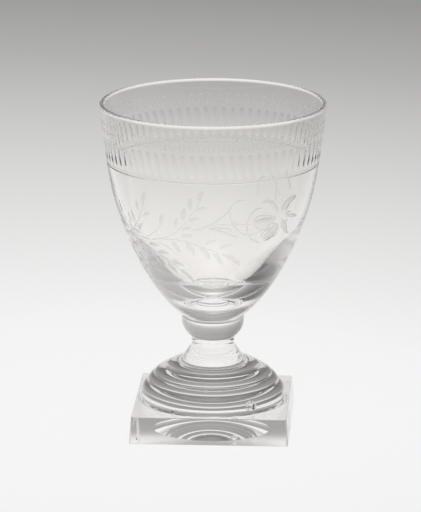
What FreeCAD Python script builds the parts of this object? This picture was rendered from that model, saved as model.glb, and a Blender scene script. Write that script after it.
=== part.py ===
"""Sweetmeat glass: an ovoid bowl on a flattened knop, a short flared stem, a terraced round foot
and a solid square plinth with a shallow round hollow ground into its underside.

Frame: +Z up, millimetres, origin at the centre of the plinth's underside. The square plinth has
its sides along X and Y. Each piece is fused face to face with the next one on a flat round joint.
"""
import FreeCAD, Part
import math
import os
import Sketcher

# Driving sizes, in millimetres. Heights of one piece are counted from that piece's own underside.
SIZES = [
    ("plinth_height", 11.3),
    ("plinth_margin", 0.35),
    ("plinth_draft", 0.8),
    ("plinth_corner_round", 1.2),
    ("plinth_edge_round", 0.25),
    ("hollow_radius", 24.3),
    ("hollow_depth", 3.5),
    ("skirt_tread", 1.6),
    ("skirt_drop", 2.8),
    ("skirt_round", 1.9),
    ("terrace_four_tread", 2.6),
    ("terrace_four_drop", 4.7),
    ("terrace_three_tread", 2.7),
    ("terrace_three_drop", 3.1),
    ("terrace_two_tread", 4.7),
    ("terrace_two_drop", 2.8),
    ("terrace_one_tread", 5.0),
    ("terrace_one_drop", 2.6),
    ("terrace_round", 6.4),
    ("stem_foot_radius", 15.2),
    ("stem_flare_radius", 11.3),
    ("stem_flare_height", 3.9),
    ("stem_flare_round", 8.0),
    ("stem_throat_radius", 9.35),
    ("stem_throat_height", 6.7),
    ("stem_neck_round", 2.6),
    ("stem_neck_radius", 8.9),
    ("stem_neck_height", 8.0),
    ("stem_height", 9.5),
    ("stem_waist_radius", 9.1),
    ("knop_collar_radius", 9.0),
    ("knop_collar_height", 1.3),
    ("knop_lower_round", 9.3),
    ("knop_radius", 13.1),
    ("knop_widest_height", 9.0),
    ("knop_upper_round", 16.0),
    ("knop_height", 10.8),
    ("bowl_joint_radius", 13.0),
    ("wall_low_radius", 25.0),
    ("wall_low_height", 10.0),
    ("wall_middle_radius", 40.7),
    ("wall_middle_height", 42.2),
    ("wall_high_radius", 43.8),
    ("wall_high_height", 61.7),
    ("rim_radius", 47.0),
    ("rim_wall", 2.3),
    ("bowl_height", 90.4),
    ("inside_high_radius", 41.4),
    ("inside_high_height", 51.2),
    ("inside_middle_radius", 30.8),
    ("inside_middle_height", 29.0),
    ("inside_floor_radius", 14.0),
    ("inside_floor_height", 8.4),
]

# Which way an arc swells, seen along the path from its first corner to its second one.
LEFT = 1
RIGHT = -1

doc = FreeCAD.newDocument("sweetmeat_glass")
sheet = doc.addObject("Spreadsheet::Sheet", "Sizes")
for row, (alias, value) in enumerate(SIZES, start=1):
    sheet.set("A%d" % row, alias)
    sheet.set("B%d" % row, str(value))
    sheet.setAlias("B%d" % row, alias)
doc.recompute()


def worth(expression):
    """The number that an expression of the sheet's sizes gives."""
    return float(sheet.evalExpression(expression))


def sized(*aliases):
    """An expression that adds up the sheet's sizes of these names."""
    return " + ".join("Sizes.%s" % alias for alias in aliases)


TERRACE_TREADS = ["terrace_four_tread", "terrace_three_tread", "terrace_two_tread", "terrace_one_tread"]
TERRACE_DROPS = ["terrace_four_drop", "terrace_three_drop", "terrace_two_drop", "terrace_one_drop"]

DOME_RADIUS = sized("stem_foot_radius", "skirt_tread", *TERRACE_TREADS)
DOME_HEIGHT = sized("skirt_drop", *TERRACE_DROPS)
PLINTH_TOP_SIDE = "2 * (%s + Sizes.plinth_margin)" % DOME_RADIUS
PLINTH_BASE_SIDE = "2 * (%s + Sizes.plinth_margin + Sizes.plinth_draft)" % DOME_RADIUS
HOLLOW_BALL = "(Sizes.hollow_radius ^ 2 + Sizes.hollow_depth ^ 2) / (2 * Sizes.hollow_depth)"

DOME_LEVEL = sized("plinth_height")
STEM_LEVEL = "%s + %s" % (DOME_LEVEL, DOME_HEIGHT)
KNOP_LEVEL = "%s + Sizes.stem_height" % STEM_LEVEL
BOWL_LEVEL = "%s + Sizes.knop_height" % KNOP_LEVEL


def new_body(name, level):
    """A body of its own name, standing at a level above the ground."""
    body = doc.addObject("PartDesign::Body", name)
    body.Label = name
    body.setExpression("Placement.Base.z", level)
    return body


def new_sketch(body, name, plane_role):
    """A sketch on one of the body's own origin planes."""
    plane = [item for item in body.Origin.OriginFeatures if item.Role == plane_role][0]
    sketch = body.newObject("Sketcher::SketchObject", name)
    sketch.AttachmentSupport = [(plane, "")]
    sketch.MapMode = "FlatFace"
    return sketch


def constrain(sketch, constraint, name, expression):
    """Add a named constraint whose value follows an expression."""
    index = sketch.addConstraint(constraint)
    sketch.renameConstraint(index, name)
    sketch.setExpression("Constraints." + name, expression)


def arc_between(start, end, radius, side):
    """The short arc from one corner to the next, swelling to the left or right of the path."""
    chord = end - start
    normal = FreeCAD.Vector(-chord.y, chord.x, 0).normalize()
    half_chord = chord.Length / 2
    swell = radius - math.sqrt(radius ** 2 - half_chord ** 2)
    return Part.Arc(start, (start + end) / 2 + normal * swell * side, end)


def guided_curve(start, guides, end):
    """A smooth cubic curve from one corner to the next that three guide points pull aside."""
    poles = [start] + [point_at(guide) for guide in guides] + [end]
    curve = Part.BSplineCurve()
    curve.buildFromPolesMultsKnots(poles, [4, 1, 4], [0, 0.5, 1], False, 3)
    return curve


def point_at(place):
    """The sketch point of a radius and a height, where None is nothing."""
    radius, height = place
    return FreeCAD.Vector(worth(radius) if radius else 0, worth(height) if height else 0, 0)


def add_edge(sketch, start, end, bend, name):
    """Draw one line, arc or guided curve with its own sizes, and tell which of its ends is which."""
    if bend is None:
        return sketch.addGeometry(Part.LineSegment(start, end), False), 1, 2
    if "guides" in bend:
        index = sketch.addGeometry(guided_curve(start, bend["guides"], end), False)
        sketch.exposeInternalGeometry(index)
        for number, guide in enumerate(bend["guides"], start=1):
            hold_point(sketch, index + 1 + number, 3, guide, "%s_guide_%d" % (name, number))
        return index, 1, 2
    radius = bend["radius"]
    index = sketch.addGeometry(arc_between(start, end, worth(radius), bend["side"]), False)
    bend_radius = Sketcher.Constraint("Radius", index, worth(radius))
    constrain(sketch, bend_radius, name + "_round", radius)
    drawn_forward = sketch.getPoint(index, 1).distanceToPoint(start) < start.distanceToPoint(end) / 2
    if drawn_forward:
        return index, 1, 2
    return index, 2, 1


def hold_point(sketch, index, end, place, name):
    """Fix one point at its radius and height, or on an axis where one of them is nothing."""
    radius, height = place
    if radius is None:
        sketch.addConstraint(Sketcher.Constraint("PointOnObject", index, end, -2))
    else:
        across = Sketcher.Constraint("DistanceX", -1, 1, index, end, worth(radius))
        constrain(sketch, across, name + "_radius", radius)
    if height is None:
        sketch.addConstraint(Sketcher.Constraint("PointOnObject", index, end, -1))
    else:
        upward = Sketcher.Constraint("DistanceY", -1, 1, index, end, worth(height))
        constrain(sketch, upward, name + "_height", height)


def rounded(alias, side):
    """An arc whose radius is one of the sheet's sizes."""
    return {"radius": "Sizes.%s" % alias, "side": side}


def guided(*names):
    """A curve whose guide points have a radius and a height of these names in the sheet."""
    return {"guides": [(sized(name + "_radius"), sized(name + "_height")) for name in names]}


def draw_profile(body, corners, bends):
    """Draw a closed half profile of radii and heights, with bend i between corners i and i + 1."""
    sketch = new_sketch(body, body.Label + "_profile", "XZ_Plane")
    points = [point_at(corner) for corner in corners]
    edges = []
    for number, bend in enumerate(bends):
        after = points[(number + 1) % len(points)]
        edges.append(add_edge(sketch, points[number], after, bend, "bend_%d" % number))
    for number, (index, _, last) in enumerate(edges):
        after, first, _ = edges[(number + 1) % len(edges)]
        sketch.addConstraint(Sketcher.Constraint("Coincident", index, last, after, first))
    for number, (index, first, _) in enumerate(edges):
        hold_point(sketch, index, first, corners[number], "corner_%d" % number)
    return sketch


def turned_body(name, level, corners, bends):
    """A body of revolution about its own Z axis."""
    body = new_body(name, level)
    sketch = draw_profile(body, corners, bends)
    turned = body.newObject("PartDesign::Revolution", name + "_turned")
    turned.Profile = sketch
    turned.ReferenceAxis = (sketch, ["V_Axis"])
    turned.Angle = 360
    return body


def make_plinth():
    """The square plinth: drafted sides, softened corners and edges, a flat underside with a hollow."""
    body = new_body("square_plinth", "0")
    sketch = new_sketch(body, "plinth_outline", "XY_Plane")
    half = worth(PLINTH_BASE_SIDE) / 2
    signs = [(-1, -1), (1, -1), (1, 1), (-1, 1)]
    points = [FreeCAD.Vector(half * across, half * along, 0) for across, along in signs]
    for number in range(4):
        sketch.addGeometry(Part.LineSegment(points[number], points[(number + 1) % 4]), False)
    for number in range(4):
        sketch.addConstraint(Sketcher.Constraint("Coincident", number, 2, (number + 1) % 4, 1))
    for number in (0, 2):
        sketch.addConstraint(Sketcher.Constraint("Horizontal", number))
        sketch.addConstraint(Sketcher.Constraint("Vertical", number + 1))
    sketch.addConstraint(Sketcher.Constraint("Symmetric", 0, 1, 1, 2, -1, 1))
    width = Sketcher.Constraint("DistanceX", 0, 1, 0, 2, 2 * half)
    constrain(sketch, width, "plinth_width", PLINTH_BASE_SIDE)
    depth = Sketcher.Constraint("DistanceY", 1, 1, 1, 2, 2 * half)
    constrain(sketch, depth, "plinth_depth", PLINTH_BASE_SIDE)

    block = body.newObject("PartDesign::Pad", "plinth_block")
    block.Profile = sketch
    block.setExpression("Length", "Sizes.plinth_height")
    block.setExpression("TaperAngle", "-atan(Sizes.plinth_draft / Sizes.plinth_height)")
    doc.recompute()

    corners = body.newObject("PartDesign::Fillet", "plinth_corners")
    corners.Base = (block, edges_where(block.Shape, lambda box, top: box.ZLength > top / 2))
    corners.setExpression("Radius", "Sizes.plinth_corner_round")
    doc.recompute()

    rims = body.newObject("PartDesign::Fillet", "plinth_edges")
    rims.Base = (corners, edges_where(corners.Shape, lambda box, top: box.ZLength < top / 2))
    rims.setExpression("Radius", "Sizes.plinth_edge_round")
    doc.recompute()

    hollow = body.newObject("PartDesign::SubtractiveSphere", "plinth_hollow")
    hollow.setExpression("Radius", HOLLOW_BALL)
    hollow.setExpression("Placement.Base.z", "Sizes.hollow_depth - " + HOLLOW_BALL)
    body.Tip = hollow
    return body


def edges_where(shape, wanted):
    """Names of a shape's edges that a test on their boxes picks."""
    top = shape.BoundBox.ZMax
    names = []
    for number, edge in enumerate(shape.Edges, start=1):
        if wanted(edge.BoundBox, top):
            names.append("Edge%d" % number)
    return names


def make_dome():
    """The round foot: a flared skirt and four swelling terraces, up to the stem's foot."""
    corners = [(None, None), (DOME_RADIUS, None)]
    bends = [None, rounded("skirt_round", LEFT)]
    for step in range(len(TERRACE_TREADS) + 1):
        radius = sized("stem_foot_radius", *TERRACE_TREADS[step:])
        height = sized("skirt_drop", *TERRACE_DROPS[:step])
        corners.append((radius, height))
        bends.append(rounded("terrace_round", RIGHT))
    bends[-1] = None
    corners.append((None, DOME_HEIGHT))
    bends.append(None)
    return turned_body("terraced_foot", DOME_LEVEL, corners, bends)


def make_stem():
    """The short stem: a straight neck, a cone below it and a flare that meets the foot."""
    corners = [
        (None, None),
        (sized("stem_foot_radius"), None),
        (sized("stem_flare_radius"), sized("stem_flare_height")),
        (sized("stem_throat_radius"), sized("stem_throat_height")),
        (sized("stem_neck_radius"), sized("stem_neck_height")),
        (sized("stem_waist_radius"), sized("stem_height")),
        (None, sized("stem_height")),
    ]
    flare, neck = rounded("stem_flare_round", LEFT), rounded("stem_neck_round", LEFT)
    bends = [None, flare, None, neck, None, None, None]
    return turned_body("stem", STEM_LEVEL, corners, bends)


def make_knop():
    """The flattened ball knop, with a short collar at the waist and a rounded shoulder."""
    corners = [
        (None, None),
        (sized("stem_waist_radius"), None),
        (sized("knop_collar_radius"), sized("knop_collar_height")),
        (sized("knop_radius"), sized("knop_widest_height")),
        (sized("bowl_joint_radius"), sized("knop_height")),
        (None, sized("knop_height")),
    ]
    lower = rounded("knop_lower_round", RIGHT)
    upper = rounded("knop_upper_round", RIGHT)
    bends = [None, None, lower, upper, None, None]
    return turned_body("knop", KNOP_LEVEL, corners, bends)


def make_bowl():
    """The ovoid bowl: a wall that thickens downwards, a half-round lip and a thick floor."""
    lip_radius = "Sizes.rim_wall / 2"
    lip_height = "Sizes.bowl_height - " + lip_radius
    corners = [
        (None, None),
        (sized("bowl_joint_radius"), None),
        (sized("rim_radius"), lip_height),
        ("Sizes.rim_radius - " + lip_radius, sized("bowl_height")),
        ("Sizes.rim_radius - Sizes.rim_wall", lip_height),
        (None, sized("inside_floor_height")),
    ]
    lip = {"radius": lip_radius, "side": RIGHT}
    wall = guided("wall_low", "wall_middle", "wall_high")
    inside = guided("inside_high", "inside_middle", "inside_floor")
    bends = [None, wall, lip, lip, inside, None]
    return turned_body("bowl", BOWL_LEVEL, corners, bends)


def write_parts(bodies):
    """Check every object and write each body's solid to its own file."""
    doc.recompute()
    for item in doc.Objects:
        if "Invalid" in item.State or "Error" in item.State:
            raise RuntimeError("%s failed: %s" % (item.Name, item.State))
    for body in bodies:
        if body.Shape.isNull() or not body.Shape.isValid() or len(body.Shape.Solids) != 1:
            raise RuntimeError("%s isn't one sound solid" % body.Label)
    os.makedirs("parts", exist_ok=True)
    for body in bodies:
        box = body.Shape.BoundBox
        print("%s z %.2f to %.2f, width %.2f, volume %.1f" % (
            body.Label, box.ZMin, box.ZMax, box.XLength, body.Shape.Volume))
        body.Shape.exportStep(os.path.join("parts", body.Label + ".step"))


write_parts([make_plinth(), make_dome(), make_stem(), make_knop(), make_bowl()])
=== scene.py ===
"""Sweetmeat glass: the looks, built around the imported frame.

The glass is five pieces that meet face to face. Each piece is a closed mesh of clear glass, and the
flat faces where two pieces are fused carry a see-through joint material, so that light runs from one
piece into the next as it does in glass that was joined hot.
"""
import math

import bpy
import numpy as np
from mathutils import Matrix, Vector
from mathutils.geometry import delaunay_2d_cdt


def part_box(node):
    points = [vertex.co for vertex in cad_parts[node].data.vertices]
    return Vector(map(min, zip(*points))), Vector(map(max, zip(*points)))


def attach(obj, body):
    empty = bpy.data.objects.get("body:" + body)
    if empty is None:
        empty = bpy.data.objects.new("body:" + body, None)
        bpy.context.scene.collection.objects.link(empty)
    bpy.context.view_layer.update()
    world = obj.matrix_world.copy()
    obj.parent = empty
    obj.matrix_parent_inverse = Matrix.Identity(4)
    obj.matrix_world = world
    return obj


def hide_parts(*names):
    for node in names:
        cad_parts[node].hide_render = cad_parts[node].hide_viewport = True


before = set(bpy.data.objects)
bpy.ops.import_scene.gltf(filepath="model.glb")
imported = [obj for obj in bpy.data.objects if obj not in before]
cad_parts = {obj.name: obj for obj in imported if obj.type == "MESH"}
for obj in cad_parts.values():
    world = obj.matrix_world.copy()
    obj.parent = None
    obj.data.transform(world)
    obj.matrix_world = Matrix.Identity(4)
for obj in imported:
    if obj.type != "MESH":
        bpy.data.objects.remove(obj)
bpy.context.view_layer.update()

# Lengths are in millimetres up to the moment when a mesh is made.
MM = 0.001
TURN = 2 * math.pi
TINY = 1e-9

# Turned profiles
SEGMENTS = 256
CREASE = math.radians(24)
LEFT = 1
RIGHT = -1

# Material slots of every piece
CLEAR, JOINT, MATT, WORN, DARK, SHADE_TINTED = range(6)


def level(node, end):
    """The height of a node's underside (end 0) or top (end 1) in the frame."""
    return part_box(node)[end].z / MM


def reach(node):
    """The radius of a node about the Z axis."""
    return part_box(node)[1].x / MM


# Bowl, from the frame's levels and the wall's own guide points (radius, height above the joint)
BOWL_LEVEL = level("bowl", 0)
RIM_LEVEL = level("bowl", 1)
RIM_RADIUS = reach("bowl")
RIM_WALL = 2.3
JOINT_RADIUS = 13.0
WALL_GUIDES = [(25.0, 10.0), (40.7, 42.2), (43.8, 61.7)]
INSIDE_GUIDES = [(41.4, 51.2), (30.8, 29.0), (14.0, 8.4)]
FLOOR_HEIGHT = 8.4
WALL_STEPS, INSIDE_STEPS, LIP_STEPS = 400, 110, 8
COARSE_STRIDE = 3

# Knop and stem
KNOP_LEVEL = level("knop", 0)
KNOP_RADIUS = reach("knop")
KNOP_WIDEST = 9.0
KNOP_COLLAR = (9.0, 1.3)
WAIST_RADIUS = 9.1
KNOP_LOWER_ROUND = 9.3
KNOP_UPPER_ROUND = 16.0
KNOP_STEPS = (4, 28, 12)
STEM_LEVEL = level("stem", 0)
STEM_FOOT_RADIUS = reach("stem")
STEM_FLARE = (11.3, 3.9)
STEM_FLARE_ROUND = 8.0
STEM_THROAT = (9.35, 6.7)
STEM_NECK = (8.9, 8.0)
STEM_NECK_ROUND = 2.6
STEM_STEPS = (20, 8, 8, 4)

# Terraced foot: treads and drops from the skirt upwards
FOOT_LEVEL = level("square_plinth", 1)
FOOT_RADIUS = reach("terraced_foot")
SKIRT = (1.6, 2.8)
SKIRT_ROUND = 1.9
TERRACES = [(2.6, 4.7), (2.7, 3.1), (4.7, 2.8), (5.0, 2.6)]
TERRACE_ROUND = 6.4
SKIRT_STEPS, TERRACE_STEPS = 16, 18

# Marks caught in the glass (centre, half size or sizes, slot): dark specks, and bubbles in other slots
FOOT_MARKS = [
    ((16.5, -21.6, 13.9), (2.4, 1.7, 1.8), WORN),
    ((-1.4, -25.1, 20.7), 0.5, MATT),
    ((18.15, -23.45, 14.75), 0.4, DARK),
    ((18.0, -23.42, 13.5), (0.45, 0.4, 0.7), DARK),
    ((17.25, -23.6, 16.2), 0.25, DARK),
    ((-15.2, -25.5, 11.8), (0.5, 0.35, 0.35), DARK),
]
PLINTH_MARKS = [
    ((10.4, -23.7, 1.6), (1.5, 1.2, 0.9), CLEAR),
    ((-1.4, -32.0, 4.3), 0.3, CLEAR),
    ((-29.7, -32.2, 2.1), 0.3, DARK),
    ((30.7, 22.4, 10.9), 0.3, DARK),
]
SPHERE_RINGS, SPHERE_SEGMENTS = 12, 24

# Square plinth
PLINTH_HALF = reach("square_plinth")
PLINTH_DRAFT = 0.8
PLINTH_CORNER = 1.2
PLINTH_EDGE = 0.25
PLINTH_EDGE_STEPS = 4
HOLLOW_RADIUS = 24.3
HOLLOW_DEPTH = 3.5
HOLLOW_STEPS = 24
HOLLOW_BALL = (HOLLOW_RADIUS ** 2 + HOLLOW_DEPTH ** 2) / (2 * HOLLOW_DEPTH)


def arc(start, end, radius, side, steps):
    """Points after the start of the short arc that swells to the left or right of the path."""
    start, end = np.array(start, float), np.array(end, float)
    chord = end - start
    span = math.hypot(*chord)
    normal = np.array([-chord[1], chord[0]]) / span * side
    centre = (start + end) / 2 - normal * math.sqrt(radius ** 2 - span ** 2 / 4)
    first = math.atan2(*(start - centre)[::-1])
    last = math.atan2(*(end - centre)[::-1])
    swing = (last - first + math.pi) % TURN - math.pi
    angles = first + swing * np.arange(1, steps + 1) / steps
    return [tuple(centre + radius * np.array([math.cos(a), math.sin(a)])) for a in angles]


def guided(start, guides, end, steps):
    """Points after the start of a smooth cubic curve that three guide points pull aside."""
    a, b, c, d, e = [np.array(p, float) for p in [start, *guides, end]]
    before, after = (b + c) / 2, (c + d) / 2
    middle = (before + after) / 2
    points = []
    for poles in [(a, b, before, middle), (middle, after, d, e)]:
        for t in np.arange(1, steps // 2 + 1) / (steps // 2):
            u = 1 - t
            weights = (u ** 3, 3 * t * u ** 2, 3 * t ** 2 * u, t ** 3)
            points.append(tuple(sum(w * p for w, p in zip(weights, poles))))
    return points


def line(start, end, steps):
    """Evenly spaced points after the start of a straight run."""
    start, end = np.array(start, float), np.array(end, float)
    return [tuple(start + (end - start) * n / steps) for n in range(1, steps + 1)]


def profile_normals(path):
    """Normals at both ends of each stretch of a path that has the glass on its left."""
    path = np.array(path)
    along = np.diff(path, axis=0)
    along /= np.linalg.norm(along, axis=1)[:, None]
    outward = np.stack([along[:, 1], -along[:, 0]], axis=1)
    starts, ends = outward.copy(), outward.copy()
    for n in range(1, len(outward)):
        turn = math.acos(float(np.clip(outward[n - 1] @ outward[n], -1, 1)))
        if turn < CREASE:
            shared = outward[n - 1] + outward[n]
            shared /= np.linalg.norm(shared)
            ends[n - 1] = starts[n] = shared
    for n, stretch in ((0, starts), (-1, ends)):
        if abs(path[n][0]) < TINY:
            stretch[n] = (0, math.copysign(1, stretch[n][1]))
    return starts, ends


def circle(radius, height, count=SEGMENTS):
    """Evenly spaced points of a circle about the axis."""
    angles = TURN * np.arange(count) / count
    return [(radius * math.cos(a), radius * math.sin(a), height) for a in angles]


def placed(name, data):
    """A new object in the scene."""
    thing = bpy.data.objects.new(name, data)
    bpy.context.scene.collection.objects.link(thing)
    return thing


class Shell:
    """A mesh under construction: points in millimetres, faces with a normal for each corner."""

    def __init__(self):
        self.points = []
        self.faces = []
        self.normals = []
        self.slots = []

    def add_points(self, points):
        first = len(self.points)
        self.points.extend(tuple(p) for p in points)
        return list(range(first, len(self.points)))

    def add_face(self, corners, normals, slot):
        self.faces.append(tuple(corners))
        self.normals.extend(tuple(n) for n in normals)
        self.slots.append(slot)

    def ring(self, radius, height):
        """A ring of points about the axis, or a single one on it."""
        return self.add_points([(0, 0, height)] if abs(radius) < TINY else circle(radius, height))

    def band(self, low, high, low_normals, high_normals, slot):
        """Faces between two rings. Either ring may be a single point."""
        count = max(len(low), len(high))
        for n in range(count):
            after = (n + 1) % count
            below = (n, after) if len(low) > 1 else (0,)
            above = (after, n) if len(high) > 1 else (0,)
            corners = [low[p] for p in below] + [high[p] for p in above]
            normals = [low_normals[p] for p in below] + [high_normals[p] for p in above]
            self.add_face(corners, normals, slot)

    def turn(self, path, slots, first=None, last=None):
        """Turn a path about the axis. slots gives each stretch's material slot."""
        starts, ends = profile_normals(path)
        rings = [self.ring(*point) for point in path]
        if first is not None:
            rings[0] = first
        if last is not None:
            rings[-1] = last
        for n, slot in enumerate(slots):
            low_normals = spun(starts[n], len(rings[n]))
            high_normals = spun(ends[n], len(rings[n + 1]))
            self.band(rings[n], rings[n + 1], low_normals, high_normals, slot)
        return rings

    def egg(self, centre, sizes, slot, facing):
        """A closed egg of three half sizes whose normals point outward (1) or inward (-1)."""
        rings, normals = [], []
        for n in range(SPHERE_RINGS + 1):
            rise = math.pi * n / SPHERE_RINGS
            ends = n in (0, SPHERE_RINGS)
            turns = TURN * np.arange(1 if ends else SPHERE_SEGMENTS) / SPHERE_SEGMENTS
            places = np.array([(math.sin(rise) * math.cos(a), math.sin(rise) * math.sin(a), -math.cos(rise))
                               for a in turns])
            away = places / np.array(sizes)
            away *= facing / np.linalg.norm(away, axis=1)[:, None]
            rings.append(self.add_points(np.array(centre) + places * np.array(sizes)))
            normals.append(away)
        if facing < 0:
            rings, normals = rings[::-1], normals[::-1]
        for low, high, low_normals, high_normals in zip(rings, rings[1:], normals, normals[1:]):
            self.band(low, high, low_normals, high_normals, slot)

    def mark(self, marks):
        """Add the bubbles, which are hollows, and the specks, which are solid."""
        for centre, sizes, slot in marks:
            self.egg(centre, sizes, slot, 1 if slot == DARK else -1)

    def build(self, name, materials):
        """Make the object, in metres, with its corner normals."""
        used = sorted({corner for face in self.faces for corner in face})
        order = {old: new for new, old in enumerate(used)}
        points = [tuple(x * MM for x in self.points[old]) for old in used]
        faces = [tuple(order[corner] for corner in face) for face in self.faces]
        mesh = bpy.data.meshes.new(name)
        mesh.from_pydata(points, [], faces)
        for material in materials:
            mesh.materials.append(material)
        mesh.polygons.foreach_set("material_index", self.slots)
        mesh.shade_smooth()
        mesh.normals_split_custom_set(self.normals)
        mesh.validate()
        return placed(name, mesh)


def spun(normal, count):
    """A profile normal (outward, upward) at each point of a ring."""
    return circle(*normal, count) if count > 1 else [(0, 0, math.copysign(1, normal[1]))]


# Camera, as the photograph was taken: lengths in metres, angles in degrees
CAMERA_DISTANCE = 1.496
CAMERA_HEIGHT = 0.4694
CAMERA_PITCH = 14.87
CAMERA_LENS = 261.4
CAMERA_TURN = 3.4
CAMERA_LEFT = 0.00104
FRAME_WIDTH, FRAME_HEIGHT = 421, 512
SENSOR = 36.0
CLIP_START, CLIP_END = 0.1, 20


def make_camera():
    """The camera at the photograph's place, looking down at the glass from the front."""
    data = bpy.data.cameras.new("camera")
    data.sensor_width = SENSOR
    data.lens = CAMERA_LENS
    data.clip_start = CLIP_START
    data.clip_end = CLIP_END
    camera = placed("camera", data)
    turn = math.radians(CAMERA_TURN)
    sideways = Vector((math.cos(turn), math.sin(turn), 0))
    back = Vector((math.sin(turn), -math.cos(turn), 0))
    camera.location = back * CAMERA_DISTANCE - sideways * CAMERA_LEFT + Vector((0, 0, CAMERA_HEIGHT))
    camera.rotation_euler = (math.radians(90 - CAMERA_PITCH), 0, turn)
    bpy.context.scene.camera = camera
    bpy.context.view_layer.update()
    return camera


def outer_wall_path():
    """The bowl's outer wall from the joint to the lip, as (radius, height) points."""
    start = (JOINT_RADIUS, BOWL_LEVEL)
    guides = [(radius, BOWL_LEVEL + height) for radius, height in WALL_GUIDES]
    end = (RIM_RADIUS, RIM_LEVEL - RIM_WALL / 2)
    return [start] + guided(start, guides, end, WALL_STEPS)


# A line of sight is tried over this share of the rim's radius, nearer and farther than the axis
SIGHT_SHARE = 1.2
SIGHT_STEPS = 2400


class Wall:
    """The bowl's outer wall, read by the length along it and the angle around the axis."""

    def __init__(self):
        path = np.array(outer_wall_path())
        steps = np.linalg.norm(np.diff(path, axis=0), axis=1)
        self.radii, self.heights = path[:, 0], path[:, 1]
        self.lengths = np.concatenate([[0], np.cumsum(steps)])
        middle_radii = (self.radii[1:] + self.radii[:-1]) / 2
        self.stretch = np.concatenate([[0], np.cumsum(steps / middle_radii)])
        slopes = np.gradient(path, self.lengths, axis=0)
        self.slopes = slopes / np.linalg.norm(slopes, axis=1)[:, None]

    def length_at(self, height):
        return np.interp(height, self.heights, self.lengths)

    def radius(self, length):
        return np.interp(length, self.lengths, self.radii)

    def height(self, length):
        return np.interp(length, self.lengths, self.heights)

    def flat(self, angle, length):
        """The place on a plane, by a map that keeps angles: the wall opened out as a ring."""
        spread = RIM_RADIUS * np.exp(np.interp(length, self.lengths, self.stretch) - self.stretch[-1])
        return np.stack([spread * np.cos(angle), spread * np.sin(angle)], axis=-1)

    def unflat(self, places):
        """The angle and length of places on the plane."""
        spread = np.linalg.norm(places, axis=1)
        stretch = np.log(spread / RIM_RADIUS) + self.stretch[-1]
        return np.arctan2(places[:, 1], places[:, 0]), np.interp(stretch, self.stretch, self.lengths)

    def surface(self, angle, length):
        """Points, outward normals, and tangents around and up the wall."""
        radius, height = self.radius(length), self.height(length)
        out = np.interp(length, self.lengths, self.slopes[:, 0])
        up = np.interp(length, self.lengths, self.slopes[:, 1])
        scale = np.hypot(out, up)
        out, up = out / scale, up / scale
        cosine, sine = np.cos(angle), np.sin(angle)
        points = np.stack([radius * cosine, radius * sine, height], axis=-1)
        normals = np.stack([up * cosine, up * sine, -out], axis=-1)
        around = np.stack([-sine, cosine, np.zeros_like(cosine)], axis=-1)
        upward = np.stack([out * cosine, out * sine, up], axis=-1)
        return points, normals, around, upward

    def seen_at(self, camera, pixel, far=False):
        """The angle and length where the line of sight through a pixel of the photograph meets it."""
        focal = CAMERA_LENS / SENSOR * FRAME_HEIGHT
        across, down = pixel
        ray = Vector((across - FRAME_WIDTH / 2, FRAME_HEIGHT / 2 - down, -focal)).normalized()
        matrix = camera.matrix_world
        origin = np.array(matrix.translation) / MM
        direction = np.array(matrix.to_3x3() @ ray)
        nearest = -(origin[:2] @ direction[:2]) / (direction[:2] @ direction[:2])
        steps = nearest + np.linspace(-SIGHT_SHARE, SIGHT_SHARE, SIGHT_STEPS + 1) * RIM_RADIUS
        places = origin + steps[:, None] * direction
        radii = np.hypot(places[:, 0], places[:, 1])
        gap = radii - np.interp(places[:, 2], self.heights, self.radii)
        inside = np.flatnonzero(gap < 0)
        pick = int(np.argmin(gap)) if len(inside) == 0 else int(inside[-1 if far else 0])
        place = places[pick]
        return math.atan2(place[1], place[0]), float(self.length_at(place[2]))


class Stroke:
    """One wheel cut on the wall: a centre line of (angle, length) with half widths along it."""

    def __init__(self, line_points, half_widths, depth, slot, lanes=0):
        self.angles = np.unwrap([p[0] for p in line_points])
        self.lengths = np.array([p[1] for p in line_points], float)
        self.half_widths = np.array(half_widths, float)
        self.depth = depth
        self.slot = slot
        self.lanes = lanes

    def offsets(self, wall):
        """Unit steps to the left of the centre line, in angle and in length."""
        radii = wall.radius(self.lengths)
        across = np.gradient(self.angles) * radii
        upward = np.gradient(self.lengths)
        size = np.maximum(np.hypot(across, upward), TINY)
        return -upward / size / radii, across / size

    def lane(self, wall, share):
        """The line that runs beside the centre line at a share of the half width."""
        turn, rise = self.offsets(wall)
        shift = self.half_widths * share
        return self.angles + turn * shift, self.lengths + rise * shift

    def measure(self, wall, angles, lengths):
        """Distance from the centre line and half width there, for each place."""
        best = np.full(len(angles), np.inf)
        width = np.full(len(angles), 1.0)
        for n in range(len(self.angles) - 1):
            radius = float(wall.radius((self.lengths[n] + self.lengths[n + 1]) / 2))
            away = (angles - self.angles[n] + math.pi) % TURN - math.pi
            x, y = away * radius, lengths - self.lengths[n]
            run_x = (self.angles[n + 1] - self.angles[n]) * radius
            run_y = self.lengths[n + 1] - self.lengths[n]
            share = np.clip((x * run_x + y * run_y) / max(run_x ** 2 + run_y ** 2, TINY ** 2), 0, 1)
            distance = np.hypot(x - share * run_x, y - share * run_y)
            here = self.half_widths[n] * (1 - share) + self.half_widths[n + 1] * share
            closer = distance - here < best - width
            best = np.where(closer, distance, best)
            width = np.where(closer, here, width)
        return best, width

    def depth_at(self, wall, angles, lengths):
        """How deep the cut is. It is negative outside the outline."""
        distance, width = self.measure(wall, angles, lengths)
        return self.depth * (width ** 2 - distance ** 2) / self.half_widths.max() ** 2

    def near(self, wall, angles, lengths, margin):
        """Which places lie in the cut's own neighbourhood."""
        pad = self.half_widths.max() + margin
        low, high = self.lengths.min() - pad, self.lengths.max() + pad
        middle = (self.angles.min() + self.angles.max()) / 2
        half = (self.angles.max() - self.angles.min()) / 2 + pad / float(wall.radius(max(low, 0)))
        away = np.abs((angles - middle + math.pi) % TURN - math.pi)
        return np.flatnonzero((lengths > low) & (lengths < high) & (away < half))


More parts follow.
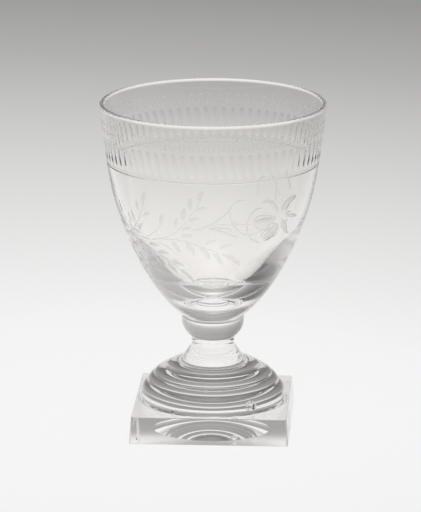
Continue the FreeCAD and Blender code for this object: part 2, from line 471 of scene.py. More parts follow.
# Engraved strokes: steps between places, and how the half width grows and fades along a stroke
STROKE_STEPS = 4
DOT_STEPS = 8
LEAF_STEPS = 8
LEAF_BOW = 0.08
LEAF_FULLNESS = 0.65
LEAF_BELLY = 0.85
STEM_START = (0.4, 8)
STEM_END = (0.25, 6)


def smooth_line(places, steps):
    """A smooth line through a few places, as evenly shared steps between them."""
    places = np.array(places, float)
    places[:, 0] = np.unwrap(places[:, 0])
    padded = np.vstack([2 * places[0] - places[1], places, 2 * places[-1] - places[-2]])
    made = []
    for n in range(1, len(padded) - 2):
        before, start, end, after = padded[n - 1:n + 3]
        for t in np.arange(steps) / steps:
            made.append(0.5 * (2 * start + (end - before) * t
                               + (2 * before - 5 * start + 4 * end - after) * t ** 2
                               + (3 * start - before - 3 * end + after) * t ** 3))
    made.append(places[-1])
    return made


def stem_stroke(places, width, depth):
    """A fine stem that thins out at its end."""
    middle = smooth_line(places, STROKE_STEPS)
    share = np.linspace(0, 1, len(middle))
    start, growth = STEM_START
    end, fade = STEM_END
    half = width / 2 * np.minimum(1, (1 - share) * fade + end) * np.minimum(1, share * growth + start)
    half[0] = half[-1] = 0
    return Stroke(middle, half, depth, MATT)


def petal_stroke(places, width, depth, steps=STROKE_STEPS):
    """A broad stroke with round ends along a curved middle line."""
    middle = smooth_line(places, steps)
    share = np.linspace(-1, 1, len(middle))
    half = width / 2 * np.sqrt(1 - share ** 2)
    return Stroke(middle, half, depth, MATT, lanes=2)


def leaf_stroke(wall, base, tip, width, depth, bow=LEAF_BOW):
    """A leaf from its base to its tip, bowed a little to one side."""
    share = np.linspace(0, 1, LEAF_STEPS + 1)
    base, tip = np.array(base, float), np.array(tip, float)
    radius = float(wall.radius((base[1] + tip[1]) / 2))
    run = np.array([((tip[0] - base[0] + math.pi) % TURN - math.pi) * radius, tip[1] - base[1]])
    side = np.array([-run[1], run[0]]) * bow
    middle = [(base[0] + (run[0] * t + side[0] * 4 * t * (1 - t)) / radius,
               base[1] + run[1] * t + side[1] * 4 * t * (1 - t)) for t in share]
    half = width / 2 * (4 * share ** LEAF_BELLY * (1 - share ** LEAF_BELLY)) ** LEAF_FULLNESS
    half[0] = half[-1] = 0
    return Stroke(middle, half, depth, MATT, lanes=1)


# Cut band under the rim
FLUTE_COUNT = 72
FLUTE_LOW, FLUTE_HIGH = 115.6, 125.7
FLUTE_WIDTH = 3.7
FLUTE_DEPTH = 0.26
FLUTE_FOOT_SHARE = 0.4
FLUTE_TOP_SHARE = 0.5
FLUTE_END_STEPS = 5
DOT_HEIGHT = 131.4
DOT_SIZE = 1.3
DOT_DEPTH = 0.06
DART_LOW, DART_HIGH = 126.6, 130.0
DART_SPREAD_SHARES = (0.36, 0.14)
DART_WIDTH = 0.8
DART_DEPTH = 0.025
BAND_LINE_HEIGHT = 113.55
BAND_LINE_WIDTH = 0.6
BAND_LINE_DEPTH = 0.25


def flute_outline():
    """Shares of a flute's length, and of its half width there: a round foot and a long rounded top."""
    bend = np.sin(np.linspace(0, 1, FLUTE_END_STEPS + 1) * math.pi / 2)
    low, high = (1 - bend[::-1]) * FLUTE_FOOT_SHARE, 1 - FLUTE_TOP_SHARE + bend * FLUTE_TOP_SHARE
    width = np.sqrt(np.clip(1 - bend ** 2, 0, 1))
    return np.concatenate([low, high]), np.concatenate([width[::-1], width])


def band_strokes(wall):
    """Long flutes with round ends, a pair of darts over each gap, and a row of round dots above."""
    pitch = TURN / FLUTE_COUNT
    low, high = wall.length_at(FLUTE_LOW), wall.length_at(FLUTE_HIGH)
    share, width_share = flute_outline()
    dot_length = wall.length_at(DOT_HEIGHT)
    dart_low, dart_high = wall.length_at(DART_LOW), wall.length_at(DART_HIGH)
    strokes = []
    for n in range(FLUTE_COUNT):
        gap = n * pitch
        middle = [(gap + pitch / 2, low + (high - low) * t) for t in share]
        strokes.append(Stroke(middle, FLUTE_WIDTH / 2 * width_share, FLUTE_DEPTH, CLEAR, lanes=2))
        base, tip = (gap, dot_length - DOT_SIZE / 2), (gap, dot_length + DOT_SIZE / 2)
        strokes.append(petal_stroke([base, tip], DOT_SIZE, DOT_DEPTH, DOT_STEPS))
        for side in (-1, 1):
            wide, narrow = (side * pitch * spread for spread in DART_SPREAD_SHARES)
            base, tip = (gap + wide, dart_low), (gap + narrow, dart_high)
            strokes.append(leaf_stroke(wall, base, tip, DART_WIDTH, DART_DEPTH, bow=0))
    return strokes


# Engraving, read off the photograph: places are pixels of its 421 by 512 frame, widths millimetres
SPRAY_STEMS = [
    ([(129, 232), (133, 229), (137, 222), (141, 213), (143, 205), (145, 198)], 0.5),
    ([(146, 237), (152, 234), (157, 230), (160, 226), (161, 221)], 0.4),
    ([(130, 232), (140, 236), (150, 239), (160, 238.5), (168, 236.5), (176, 232), (183, 225.5),
      (190, 217), (196, 208.5), (200, 201), (202, 197)], 0.45),
    ([(160, 239), (168, 239.5), (176, 240), (186, 242), (196, 245), (206, 248.5), (214, 251.5),
      (222, 255)], 0.5),
    ([(130, 233), (140, 239), (150, 247), (158, 253), (166, 258.5), (174, 264), (180, 268)], 0.55),
    ([(158, 242), (163, 244), (168, 247), (173, 251)], 0.35),
    ([(190, 230.5), (200, 229.5), (206, 227), (213, 224), (220, 219), (226, 214), (230, 210), (232, 206),
      (236, 202.5), (241, 200.7), (246, 200.5)], 0.7),
    ([(207, 226.5), (220, 225), (235, 224.5), (248, 224.5), (258, 223.5)], 0.4),
    ([(207, 229), (218, 228.5), (228, 229), (233, 232)], 0.8),
    ([(209, 229.5), (222, 232), (232, 236), (238, 238)], 0.9),
    ([(230, 212), (230.5, 219), (233, 226), (238, 231), (244, 234.5), (250, 235), (257, 233), (262, 229.5),
      (266, 226)], 0.6),
    ([(232, 221), (236, 225), (236, 231)], 0.7),
    ([(263, 208), (256, 210), (251, 215), (248, 221), (246.8, 228), (248, 235), (252, 240), (257, 242),
      (261, 242.3)], 0.95),
    ([(253, 221), (258, 217.5), (264, 216), (270, 216.5), (275, 219)], 0.8),
    ([(277, 224), (275.5, 230), (271, 236), (264, 240.5)], 1.0),
]
SPRAY_LEAVES = [
    ((143, 204), (145.5, 191), 2.0),
    ((139, 211), (136.5, 199), 1.6),
    ((136, 221), (131.5, 209), 1.7),
    ((132.5, 221), (127.5, 210), 1.2),
    ((133, 229), (129.5, 219), 1.3),
    ((139, 230), (143, 223.5), 1.6),
    ((134, 229.5), (141, 233), 1.5),
    ((143.5, 217), (150.5, 213), 1.7),
    ((160.5, 225), (163.5, 214), 2.0),
    ((198.5, 202), (204, 191), 2.0),
    ((175.5, 227), (177.5, 217), 1.5),
    ((183, 221), (185.5, 208), 2.3),
    ((190.5, 210), (191.5, 197), 2.0),
    ((196, 212), (206, 207.5), 1.4),
    ((189, 222), (199, 219), 1.6),
    ((182, 231), (192, 227.5), 1.5),
    ((181, 238), (193, 235.5), 1.7),
    ((221, 254), (240, 266), 2.3),
    ((212, 253), (222.5, 266.5), 2.0),
    ((199, 247), (210, 260), 2.4),
    ((185, 243), (194.5, 256), 2.5),
    ((171, 241), (180, 253.5), 2.3),
    ((205, 245), (217, 240.5), 1.5),
    ((219, 249), (233, 244.5), 1.7),
    ((180, 269), (193.5, 281), 2.1),
    ((158, 251.5), (170, 254), 2.0),
    ((149, 243.5), (160, 246), 2.0),
    ((172, 260.5), (184, 266), 2.1),
    ((167, 262), (177.5, 273), 2.0),
    ((157, 254.5), (166, 266), 1.9),
    ((147, 248.5), (154.5, 257.5), 1.5),
    ((139, 241.5), (146.5, 252), 1.0),
    ((129, 234), (138, 247), 1.2),
    ((138, 251), (145, 259), 1.6),
    ((146, 256), (158, 276), 1.3),
    ((126, 229), (122, 214), 1.1),
    ((123.5, 213), (119, 198), 1.1),
    ((133, 246), (139, 258), 1.0),
    ((140, 262), (150, 276), 1.2),
]
FLOWER_PETALS = [
    ([(278, 214), (274, 205.5), (268, 202.5), (262, 203.5)], 2.0),
    ([(276, 219), (265, 222), (253, 222.5)], 4.2),
    ([(276, 223), (271, 231), (262, 239)], 3.3),
    ([(281, 212), (287, 203), (296.5, 194)], 3.2),
    ([(285, 215.5), (291, 215.3), (297, 215)], 1.7),
    ([(282, 219), (283, 226), (286.5, 233)], 2.3),
    ([(286, 218.5), (288, 222)], 1.0),
]
PETAL_LINES = [
    ([(278, 214), (276.5, 207), (273, 202), (268, 200.5), (263, 202)], 0.7),
    ([(277, 217), (270, 216), (262, 216), (256, 218), (252.5, 222)], 0.8),
    ([(252.5, 224), (258, 229), (264, 229.3), (272, 225)], 0.6),
    ([(266.5, 225.5), (269, 224.7), (272, 222.8)], 0.8),
    ([(276.5, 223), (276.8, 228), (274, 233.5), (269, 238), (262, 240.7)], 1.1),
    ([(274, 226), (267, 229.5), (262, 234), (260, 239)], 0.6),
    ([(279, 228), (277, 233), (272, 238)], 0.4),
    ([(285.5, 211.5), (288.5, 204), (292, 199.5), (297, 195)], 0.9),
    ([(285, 214.5), (288, 211.5), (291, 211.3)], 0.7),
    ([(283.5, 219), (286, 225), (286, 231), (289, 232.5)], 0.8),
]
HATCH = ((271.5, 228.5), (262.5, 236.5), (273.5, 231.5), (265.5, 239))
HATCH_COUNT = 7
HATCH_WIDTH = 0.35
FAR_LOOPS = [
    ([(261, 199), (259.8, 192), (261, 185), (264.5, 178.5), (269, 176)], 0.8),
    ([(274, 176), (278, 182), (280.3, 190), (279.5, 199), (277, 207)], 0.7),
    ([(290.5, 170), (291.5, 177), (293.5, 182), (295, 188), (294.8, 193)], 0.8),
    ([(281, 192), (283, 195), (284, 199)], 0.5),
]
STEM_DEPTH_SHARE = 0.07
LEAF_DEPTH_SHARE = 0.02
PETAL_DEPTH_SHARE = 0.055
PETAL_LINE_DEPTH_SHARE = 0.14


def spray_strokes(wall, camera):
    """The leafy spray and the flower on the front, and the thin loops on the far side."""
    def at(pixel, far=False):
        return wall.seen_at(camera, pixel, far)

    def cut(table, stroke, depth_share, far=False):
        for pixels, width in table:
            strokes.append(stroke([at(pixel, far) for pixel in pixels], width, width * depth_share))

    strokes = []
    cut(SPRAY_STEMS, stem_stroke, STEM_DEPTH_SHARE)
    for base, tip, width in SPRAY_LEAVES:
        strokes.append(leaf_stroke(wall, at(base), at(tip), width, width * LEAF_DEPTH_SHARE))
    cut(FLOWER_PETALS, petal_stroke, PETAL_DEPTH_SHARE)
    cut(PETAL_LINES, stem_stroke, PETAL_LINE_DEPTH_SHARE)
    inner_first, inner_last, outer_first, outer_last = [np.array(at(pixel)) for pixel in HATCH]
    for share in np.arange(HATCH_COUNT) / (HATCH_COUNT - 1):
        inner = inner_first + (inner_last - inner_first) * share
        outer = outer_first + (outer_last - outer_first) * share
        strokes.append(stem_stroke([inner, outer], HATCH_WIDTH, HATCH_WIDTH * PETAL_LINE_DEPTH_SHARE))
    cut(FAR_LOOPS, stem_stroke, STEM_DEPTH_SHARE, far=True)
    return strokes


# Mesh of the cut wall. A face's owner is the number of its stroke, or one of these two
PLAIN_WALL, FINE_LINE = -1, -2
UNCUT_SLOTS = {PLAIN_WALL: CLEAR, FINE_LINE: MATT}
CUT_LOW, CUT_HIGH = 50.0, 136.4
ROW_STEP = 1.5
CLEARANCE = 0.4
LANE_LEAST = 0.25
SHALLOWEST = 0.003
SLOPE_STEP = 0.02
WELD = 0.00001


def cut_wall(wall, strokes):
    """The outer wall with every cut in it: angles, lengths, faces and the rings at both ends."""
    ring_angles = TURN * np.arange(SEGMENTS) / SEGMENTS
    places, edges = [], []

    def add(angles, lengths, closed=None):
        """Add loose places, or an open (False) or closed (True) line of them."""
        first = len(places)
        places.extend(zip(angles, lengths))
        count = len(places) - first
        if closed is not None:
            edges.extend((first + n, first + n + 1) for n in range(count - 1))
            if closed:
                edges.append((first + count - 1, first))
        return list(range(first, first + count))

    low, high = float(wall.length_at(CUT_LOW)), float(wall.length_at(CUT_HIGH))
    low_ring = add(ring_angles, np.full(SEGMENTS, low), True)
    high_ring = add(ring_angles, np.full(SEGMENTS, high), True)
    line_length = float(wall.length_at(BAND_LINE_HEIGHT))
    for offset in (-BAND_LINE_WIDTH / 2, 0, BAND_LINE_WIDTH / 2):
        add(ring_angles, np.full(SEGMENTS, line_length + offset), True)
    for stroke in strokes:
        left, right = stroke.lane(wall, 1), stroke.lane(wall, -1)
        angles = np.concatenate([left[0], right[0][-2:0:-1]])
        lengths = np.concatenate([left[1], right[1][-2:0:-1]])
        add(angles, lengths, True)
        add(stroke.angles[1:-1], stroke.lengths[1:-1], False)
        wide = stroke.half_widths > LANE_LEAST
        for n in range(1, stroke.lanes + 1):
            for side in (-1, 1):
                lane_angles, lane_lengths = stroke.lane(wall, side * n / (stroke.lanes + 1))
                add(lane_angles[wide], lane_lengths[wide])

    rows = np.arange(low + ROW_STEP, high - ROW_STEP / 2, ROW_STEP)
    grid_angles = np.tile(ring_angles, len(rows))
    grid_lengths = np.repeat(rows, SEGMENTS)
    keep = np.abs(grid_lengths - line_length) > BAND_LINE_WIDTH / 2 + CLEARANCE
    for stroke in strokes:
        found = stroke.near(wall, grid_angles, grid_lengths, CLEARANCE)
        distance, width = stroke.measure(wall, grid_angles[found], grid_lengths[found])
        keep[found[distance - width < CLEARANCE]] = False
    add(grid_angles[keep], grid_lengths[keep])

    flat = wall.flat(np.array([p[0] for p in places]), np.array([p[1] for p in places]))
    made = delaunay_2d_cdt([Vector(p) for p in flat.tolist()], edges, [], 0, WELD)
    new_places, _, faces, sources = made[:4]
    angles, lengths = wall.unflat(np.array([tuple(p) for p in new_places]))
    where = {old: new for new, olds in enumerate(sources) for old in olds}
    low_ring = [where[n] for n in low_ring]
    high_ring = [where[n] for n in high_ring]
    hole = set(low_ring)
    faces = [face[::-1] for face in faces if not hole.issuperset(face)]
    return angles, lengths, faces, low_ring, high_ring


def ring_depth(wall, lengths):
    """The depth of the fine line that runs all the way round under the band."""
    away = np.abs(lengths - float(wall.length_at(BAND_LINE_HEIGHT))) / (BAND_LINE_WIDTH / 2)
    return BAND_LINE_DEPTH * (1 - away ** 2)


def add_cut_wall(shell, wall, strokes):
    """Add the cut wall to the bowl's shell and return its lowest and highest ring."""
    angles, lengths, faces, low_ring, high_ring = cut_wall(wall, strokes)
    points, normals, _, _ = wall.surface(angles, lengths)
    depths = np.maximum(ring_depth(wall, lengths), 0)
    corners = np.array(faces)
    centre_angles = angles[corners[:, 0]] + sum(
        (angles[corners[:, n]] - angles[corners[:, 0]] + math.pi) % TURN - math.pi for n in (1, 2)) / 3
    centre_lengths = lengths[corners].mean(axis=1)
    face_depths = np.maximum(ring_depth(wall, centre_lengths), 0)
    owners = np.where(face_depths > 0, FINE_LINE, PLAIN_WALL)
    for number, stroke in enumerate(strokes):
        found = stroke.near(wall, angles, lengths, 0)
        depths[found] = np.maximum(depths[found], stroke.depth_at(wall, angles[found], lengths[found]))
        found = stroke.near(wall, centre_angles, centre_lengths, 0)
        deep = stroke.depth_at(wall, centre_angles[found], centre_lengths[found])
        deeper = deep > np.maximum(face_depths[found], SHALLOWEST)
        face_depths[found[deeper]] = deep[deeper]
        owners[found[deeper]] = number

    corner_normals = normals[corners]
    for owner in np.unique(owners[owners != PLAIN_WALL]):
        chosen = np.flatnonzero(owners == owner)
        at = corners[chosen].ravel()
        cut = cut_normals(wall, strokes, owner, angles[at], lengths[at])
        corner_normals[chosen] = cut.reshape(-1, 3, 3)
    slots = [strokes[owner].slot if owner >= 0 else UNCUT_SLOTS[owner] for owner in owners]
    first = shell.add_points(points - normals * depths[:, None])[0]
    for face, face_normals, slot in zip(corners + first, corner_normals, slots):
        shell.add_face(face, face_normals, slot)
    return [first + n for n in low_ring], [first + n for n in high_ring]


def cut_normals(wall, strokes, owner, angles, lengths):
    """Outward normals inside one cut, from the slope of its depth."""
    step = SLOPE_STEP
    _, normals, around, upward = wall.surface(angles, lengths)
    turn = step / wall.radius(lengths)

    def depth(a, s):
        return ring_depth(wall, s) if owner == FINE_LINE else strokes[owner].depth_at(wall, a, s)

    across = (depth(angles + turn, lengths) - depth(angles - turn, lengths)) / (2 * step)
    along = (depth(angles, lengths + step) - depth(angles, lengths - step)) / (2 * step)
    across, along = np.clip(across, -1, 1), np.clip(along, -1, 1)
    tilted = normals + around * across[:, None] + upward * along[:, None]
    return tilted / np.linalg.norm(tilted, axis=1)[:, None]


def make_bowl(camera, materials):
    """The bowl: the cut outer wall, the half-round lip, the plain inside and the joint below."""
    wall = Wall()
    strokes = band_strokes(wall) + spray_strokes(wall, camera)
    shell = Shell()
    low_ring, high_ring = add_cut_wall(shell, wall, strokes)

    path = outer_wall_path()
    foot = [p for p in path if p[1] < CUT_LOW][::COARSE_STRIDE] + [ring_point(wall, CUT_LOW)]
    slots = [JOINT] + [CLEAR] * (len(foot) - 1)
    shell.turn([(0, BOWL_LEVEL)] + foot, slots, last=low_ring)

    lip_radius = RIM_WALL / 2
    lip_level = RIM_LEVEL - lip_radius
    outer = (RIM_RADIUS, lip_level)
    inner = (RIM_RADIUS - RIM_WALL, lip_level)
    top = (RIM_RADIUS - lip_radius, RIM_LEVEL)
    rest = [ring_point(wall, CUT_HIGH), outer]
    for start, end in ((outer, top), (top, inner)):
        rest += arc(start, end, lip_radius, RIGHT, LIP_STEPS)
    guides = [(radius, BOWL_LEVEL + height) for radius, height in INSIDE_GUIDES]
    rest += guided(inner, guides, (0, BOWL_LEVEL + FLOOR_HEIGHT), INSIDE_STEPS)
    shell.turn(rest, [CLEAR] * (len(rest) - 1), first=high_ring)
    return shell.build("bowl_glass", materials)


def ring_point(wall, height):
    """The wall's radius and height at one height."""
    length = wall.length_at(height)
    return float(wall.radius(length)), height


def make_turned(name, path, materials, thin=None, marks=()):
    """A turned piece between two joints. After its first stretches of clear glass, if their count (thin) is
    given, the glass has a darker grey tint that is painted shade.
    """
    stretches = len(path) - 3
    thin = stretches if thin is None else thin
    shell = Shell()
    shell.turn(path, [JOINT] + [CLEAR] * thin + [SHADE_TINTED] * (stretches - thin) + [JOINT])
    shell.mark(marks)
    return shell.build(name, materials)


def make_knop(materials):
    """The flattened ball on its short collar."""
    top = (JOINT_RADIUS, BOWL_LEVEL)
    waist = (WAIST_RADIUS, KNOP_LEVEL)
    collar = (KNOP_COLLAR[0], KNOP_LEVEL + KNOP_COLLAR[1])
    widest = (KNOP_RADIUS, KNOP_LEVEL + KNOP_WIDEST)
    straight, lower, upper = KNOP_STEPS
    path = [(0, KNOP_LEVEL), waist] + line(waist, collar, straight)
    path += arc(collar, widest, KNOP_LOWER_ROUND, RIGHT, lower)
    path += arc(widest, top, KNOP_UPPER_ROUND, RIGHT, upper)
    return make_turned("knop_glass", path + [(0, BOWL_LEVEL)], materials)


def make_stem(materials):
    """The stem: a wide flare, a throat and a straight neck."""
    foot = (STEM_FOOT_RADIUS, STEM_LEVEL)
    bends = (STEM_FLARE, STEM_THROAT, STEM_NECK)
    flare, throat, neck = [(radius, STEM_LEVEL + height) for radius, height in bends]
    waist = (WAIST_RADIUS, KNOP_LEVEL)
    flared, straight, necked, upper = STEM_STEPS
    path = [(0, STEM_LEVEL), foot] + arc(foot, flare, STEM_FLARE_ROUND, LEFT, flared)
    path += line(flare, throat, straight)
    path += arc(throat, neck, STEM_NECK_ROUND, LEFT, necked) + line(neck, waist, upper)
    return make_turned("stem_glass", path + [(0, KNOP_LEVEL)], materials)


def make_foot(materials):
    """The foot: four swelling terraces over a skirt with a round groove."""
    radius, height = FOOT_RADIUS, FOOT_LEVEL
    path = [(0, height), (radius, height)]
    rounds = [(SKIRT, SKIRT_ROUND, LEFT, SKIRT_STEPS)]
    rounds += [(terrace, TERRACE_ROUND, RIGHT, TERRACE_STEPS) for terrace in TERRACES]
    for (tread, drop), swell, side, steps in rounds:
        after = (radius - tread, height + drop)
        path += arc((radius, height), after, swell, side, steps)
        radius, height = after
    # The skirt stays clear; the terraces above it get the darker tint of painted shade.
    return make_turned("foot_glass", path + [(0, height)], materials, SKIRT_STEPS, FOOT_MARKS)


def rounded_square(half, corner, per_side=52, per_corner=12):
    """Points and outward directions round a square with rounded corners."""
    points, outward = [], []
    for side in range(4):
        turn = side * math.pi / 2
        flat = half - corner
        for n in range(per_side):
            place = np.array([half, -flat + 2 * flat * n / per_side])
            points.append(rotated(place, turn))
            outward.append(rotated((1, 0), turn))
        for n in range(per_corner):
            angle = math.pi / 2 * n / per_corner
            away = np.array([math.cos(angle), math.sin(angle)])
            points.append(rotated(np.array([flat, flat]) + corner * away, turn))
            outward.append(rotated(away, turn))
    return np.array(points), np.array(outward)


def outward_directions(shell, ring):
    """The directions from the axis to a ring's points."""
    places = np.array([shell.points[n][:2] for n in ring])
    return places / np.linalg.norm(places, axis=1)[:, None]


def outlined(directions, radius, height):
    """Points or normals in each of the directions, at one multiple of it and one height."""
    return [(radius * x, radius * y, height) for x, y in directions]


def rotated(place, turn):
    cosine, sine = math.cos(turn), math.sin(turn)
    return np.array([cosine * place[0] - sine * place[1], sine * place[0] + cosine * place[1]])


def make_plinth(materials):
    """The square plinth: hollow underside, drafted sides, softened edges, and the joint on top."""
    shell = Shell()
    top = FOOT_LEVEL
    slope = math.atan2(PLINTH_DRAFT, top)
    steps = np.linspace(0, 1, PLINTH_EDGE_STEPS + 1)
    rings, normals = [], []

    def add_ring(inset, height, out, up):
        half = PLINTH_HALF - PLINTH_DRAFT * height / top - inset
        points, outward = rounded_square(half, PLINTH_CORNER)
        rings.append(shell.add_points(outlined(points, 1, height)))
        normals.append(outlined(outward, out, up))

    for angle in steps * (math.pi / 2 + slope):
        out, down = math.sin(angle), math.cos(angle)
        add_ring(PLINTH_EDGE * (1 - out), PLINTH_EDGE * (1 - down), out, -down)
    for angle in slope + steps * (math.pi / 2 - slope):
        out, up = math.cos(angle), math.sin(angle)
        add_ring(PLINTH_EDGE * (1 - out), top - PLINTH_EDGE * (1 - up), out, up)
    count = len(rings[0])
    down, upward = [(0, 0, -1)] * count, [(0, 0, 1)] * count
    directions = outward_directions(shell, rings[0])
    crown, edge = (0, HOLLOW_DEPTH), (HOLLOW_RADIUS, 0)
    hollow = [crown] + arc(crown, edge, HOLLOW_BALL, LEFT, HOLLOW_STEPS)
    starts, ends = profile_normals(hollow)
    circles = [shell.add_points(outlined(directions, radius, height)) for radius, height in hollow]
    circles[0] = circles[0][:1]
    for n in range(len(hollow) - 1):
        inner_normals, outer_normals = (outlined(directions, *normal) for normal in (starts[n], ends[n]))
        shell.band(circles[n], circles[n + 1], inner_normals[:len(circles[n])], outer_normals, CLEAR)
    shell.band(circles[-1], rings[0], down, down, WORN)
    for n in range(len(rings) - 1):
        shell.band(rings[n], rings[n + 1], normals[n], normals[n + 1], CLEAR)
    joint = shell.add_points(outlined(outward_directions(shell, rings[-1]), FOOT_RADIUS, top))
    shell.band(rings[-1], joint, upward, upward, CLEAR)
    shell.band(joint, shell.add_points([(0, 0, top)]), upward, upward, JOINT)
    shell.mark(PLINTH_MARKS)
    return shell.build("plinth_glass", materials)


# Glass: roughness, waves per metre, height of the waves in metres, and colour
GLASS_IOR = 1.54
GLASS_COLOUR = (0.99, 0.976, 0.96, 1)
# A darker grey tint for the foot's terraces: painted shade, not a colour of the glass.
SHADE_TINT_COLOUR = (0.83, 0.825, 0.81, 1)
GLASSES = {
    "clear_glass": (0.0, 60, 0.00001, GLASS_COLOUR),
    "matt_cut_glass": (0.35, 400, 0.00005, GLASS_COLOUR),
    "worn_underside_glass": (0.12, 400, 0.00001, GLASS_COLOUR),
    "shade_tinted_glass": (0.0, 60, 0.00001, SHADE_TINT_COLOUR),
}
WAVE_DETAIL = 1.5
DUST_SCALE = 900
DUST_LOW, DUST_HIGH = 0.35, 0.8
DUST_ROUGHNESS = 0.03

# Dark specks
SPECK_STOPS = [(0.0, 0.02), (1.0, 0.12)]
SPECK_SCALE = 3000
SPECK_ROUGHNESS = 0.6

# Studio: lengths in metres, greys as linear levels
FLOOR_RADIUS = 1.6
FLOOR_GAP = 0.02 * MM
# Painted light on the floor: a pool of light, bright under the glass and falling off away from it, with a
# painted lean that darkens it towards +X.
FLOOR_FALLOFF_STOPS = [(0.04, 1.0), (0.156, 0.97), (0.404, 0.765), (0.729, 0.478), (0.935, 0.352), (1.6, 0.255)]
FLOOR_FALLOFF_LEAN = 0.24
FLOOR_SHADOW = 0.15
SKY_BEHIND = [(0.0, 1.0), (0.05, 0.62), (0.12, 0.44), (0.28, 0.36), (0.42, 0.33), (0.6, 0.16),
              (0.78, 0.3), (1.0, 0.45)]
SKY_RIGHT = [(0.0, 0.45), (0.25, 0.5), (0.5, 0.42), (0.78, 0.3), (1.0, 0.3)]
SKY_FRONT = [(0.0, 0.12), (0.14, 0.6), (0.3, 0.8), (0.45, 0.5), (0.78, 0.5), (1.0, 0.45)]
SKY_LEFT = [(0.0, 0.32), (0.2, 0.17), (0.42, 0.05), (0.78, 0.05), (1.0, 0.45)]
GLOW_EDGE = 0.8
GLOW = 3.4
WARMTH = (1.0, 0.988, 0.965)

# Light that is guided inside the wall needs many turns before it leaves
BOUNCES = {
    "max_bounces": 48,
    "glossy_bounces": 40,
    "transmission_bounces": 40,
    "transparent_max_bounces": 24,
}


def add_node(tree, kind, *sources, **inputs):
    """A new node whose inputs are plain values or other nodes' outputs. A _ stands for a space."""
    node = tree.nodes.new("ShaderNode" + kind)
    named = [(name.replace("_", " "), value) for name, value in inputs.items()]
    for place, value in list(enumerate(sources)) + named:
        if isinstance(value, bpy.types.NodeSocket):
            tree.links.new(value, node.inputs[place])
        else:
            node.inputs[place].default_value = value
    return node


def computed(tree, operation, first, second):
    """A sum, product or comparison of two values."""
    node = add_node(tree, "Math", first, second)
    node.operation = operation
    return node.outputs["Value"]


def mixed(tree, share, first, second):
    """A mix of two colours, from the first at 0 to the second at 1."""
    return add_node(tree, "MixRGB", share, first, second).outputs["Color"]


def warm_grey(value, share):
    """A grey that is a touch warm by a share."""
    return tuple(value * (1 + (tint - 1) * share) for tint in WARMTH) + (1,)


def grey_ramp(tree, source, stops, reach=1.0):
    """A ramp of greys by places from 0 to reach. Dark greys are warmer than pale ones."""
    node = add_node(tree, "ValToRGB", computed(tree, "DIVIDE", source, reach))
    elements = node.color_ramp.elements
    for number, (place, value) in enumerate(stops):
        element = elements[number] if number < 2 else elements.new(1)
        element.position = place / reach
        element.color = warm_grey(value, 1 - value)
    return node.outputs["Color"]


def new_tree(owner):
    """The empty node tree of a new material or world."""
    owner.use_nodes = True
    owner.node_tree.nodes.clear()
    return owner.node_tree


def glass_material(name, roughness, wave_scale, wave_height, colour):
    """Clear lead glass: faint waviness from the hot working and a trace of surface dust."""
    material = bpy.data.materials.new(name)
    tree = new_tree(material)
    place = add_node(tree, "TexCoord").outputs["Object"]
    wave = add_node(tree, "TexNoise", Vector=place, Scale=wave_scale, Detail=WAVE_DETAIL)
    bump = add_node(tree, "Bump", Strength=1, Distance=wave_height, Height=wave.outputs["Fac"])
    dust = add_node(tree, "TexNoise", Vector=place, Scale=DUST_SCALE)
    spread = add_node(tree, "MapRange", Value=dust.outputs["Fac"], From_Min=DUST_LOW, From_Max=DUST_HIGH,
                      To_Min=roughness, To_Max=roughness + DUST_ROUGHNESS)
    shader = add_node(tree, "BsdfPrincipled", Base_Color=colour, Transmission_Weight=1, IOR=GLASS_IOR,
                      Roughness=spread.outputs["Result"], Normal=bump.outputs["Normal"])
    add_node(tree, "OutputMaterial", shader.outputs["BSDF"])
    return material


def speck_material():
    """Dark grit that was caught in the glass."""
    material = bpy.data.materials.new("dark_speck")
    tree = new_tree(material)
    place = add_node(tree, "TexCoord").outputs["Object"]
    grain = add_node(tree, "TexNoise", Vector=place, Scale=SPECK_SCALE)
    grey = grey_ramp(tree, grain.outputs["Fac"], SPECK_STOPS)
    shader = add_node(tree, "BsdfPrincipled", Base_Color=grey, Roughness=SPECK_ROUGHNESS)
    add_node(tree, "OutputMaterial", shader.outputs["BSDF"])
    return material


def joint_material():
    """The fused face between two pieces: light passes straight through."""
    material = bpy.data.materials.new("fused_joint")
    tree = new_tree(material)
    add_node(tree, "OutputMaterial", add_node(tree, "BsdfTransparent").outputs["BSDF"])
    return material


def make_materials():
    """Every piece's materials, in the order of the slots."""
    clear, matt, worn, shaded = [glass_material(name, *finish) for name, finish in GLASSES.items()]
    return [clear, joint_material(), matt, worn, speck_material(), shaded]


def seen_rays(tree):
    """1 for what the camera sees, straight on, mirrored or through glass."""
    rays = add_node(tree, "LightPath").outputs
    unbent = computed(tree, "MAXIMUM", rays["Is Camera Ray"], rays["Is Glossy Ray"])
    return computed(tree, "MAXIMUM", unbent, rays["Is Transmission Ray"])


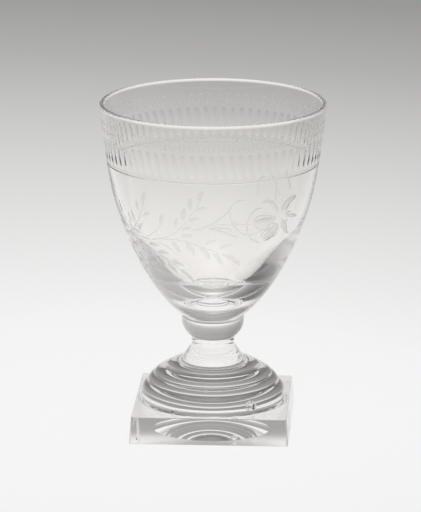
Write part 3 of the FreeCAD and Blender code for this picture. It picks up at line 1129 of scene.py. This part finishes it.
def paper_material():
    """Pale paper with a painted pool of light: bright under the glass, painted darker away from it and
    towards +X, lit evenly but for a share that takes shadow.
    """
    material = bpy.data.materials.new("paper")
    tree = new_tree(material)
    place = add_node(tree, "NewGeometry").outputs["Position"]
    size = add_node(tree, "VectorMath", place)
    size.operation = "LENGTH"
    lean = computed(tree, "MULTIPLY", add_node(tree, "SeparateXYZ", place).outputs["X"], FLOOR_FALLOFF_LEAN)
    away = computed(tree, "ADD", size.outputs["Value"], lean)
    grey = grey_ramp(tree, away, FLOOR_FALLOFF_STOPS, FLOOR_RADIUS)
    even = computed(tree, "MULTIPLY", seen_rays(tree), 1 - FLOOR_SHADOW)
    matt, glow = add_node(tree, "BsdfDiffuse", Color=grey), add_node(tree, "Emission", Color=grey)
    mix = add_node(tree, "MixShader", even, matt.outputs["BSDF"], glow.outputs["Emission"])
    add_node(tree, "OutputMaterial", mix.outputs["Shader"])
    return material


def make_floor():
    """A round pale floor, a hair below the glass."""
    mesh = bpy.data.meshes.new("floor")
    mesh.from_pydata(circle(FLOOR_RADIUS, 0), [], [tuple(range(SEGMENTS))])
    mesh.materials.append(paper_material())
    floor = placed("floor", mesh)
    floor.location.z = -FLOOR_GAP


def make_world():
    """The studio beyond the floor: lighter behind and on the right, dark on the left, a glow overhead."""
    world = bpy.data.worlds.new("studio")
    bpy.context.scene.world = world
    tree = new_tree(world)
    split = add_node(tree, "SeparateXYZ", add_node(tree, "TexCoord").outputs["Generated"])
    right, behind, up = (split.outputs[axis] for axis in "XYZ")
    skies = [grey_ramp(tree, up, stops) for stops in (SKY_LEFT, SKY_RIGHT, SKY_FRONT, SKY_BEHIND)]
    sides = mixed(tree, computed(tree, "GREATER_THAN", right, 0), skies[0], skies[1])
    ends = mixed(tree, computed(tree, "GREATER_THAN", behind, 0), skies[2], skies[3])
    across = computed(tree, "MULTIPLY", right, right)
    along = computed(tree, "MULTIPLY", behind, behind)
    share = computed(tree, "DIVIDE", across, computed(tree, "ADD", across, along))
    glow = add_node(tree, "MapRange", Value=up, From_Min=GLOW_EDGE, To_Min=1, To_Max=GLOW)
    glow.interpolation_type = "SMOOTHSTEP"
    light = add_node(tree, "Background", mixed(tree, share, ends, sides), glow.outputs["Result"])
    add_node(tree, "OutputWorld", light.outputs["Background"])


camera = make_camera()
materials = make_materials()
pieces = {
    "bowl": make_bowl(camera, materials),
    "knop": make_knop(materials),
    "stem": make_stem(materials),
    "terraced_foot": make_foot(materials),
    "square_plinth": make_plinth(materials),
}
for node, piece in pieces.items():
    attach(piece, "root")
    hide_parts(node)

make_floor()
make_world()

bpy.context.scene.view_settings.view_transform = "Standard"
for setting, count in BOUNCES.items():
    setattr(bpy.context.scene.cycles, setting, count)
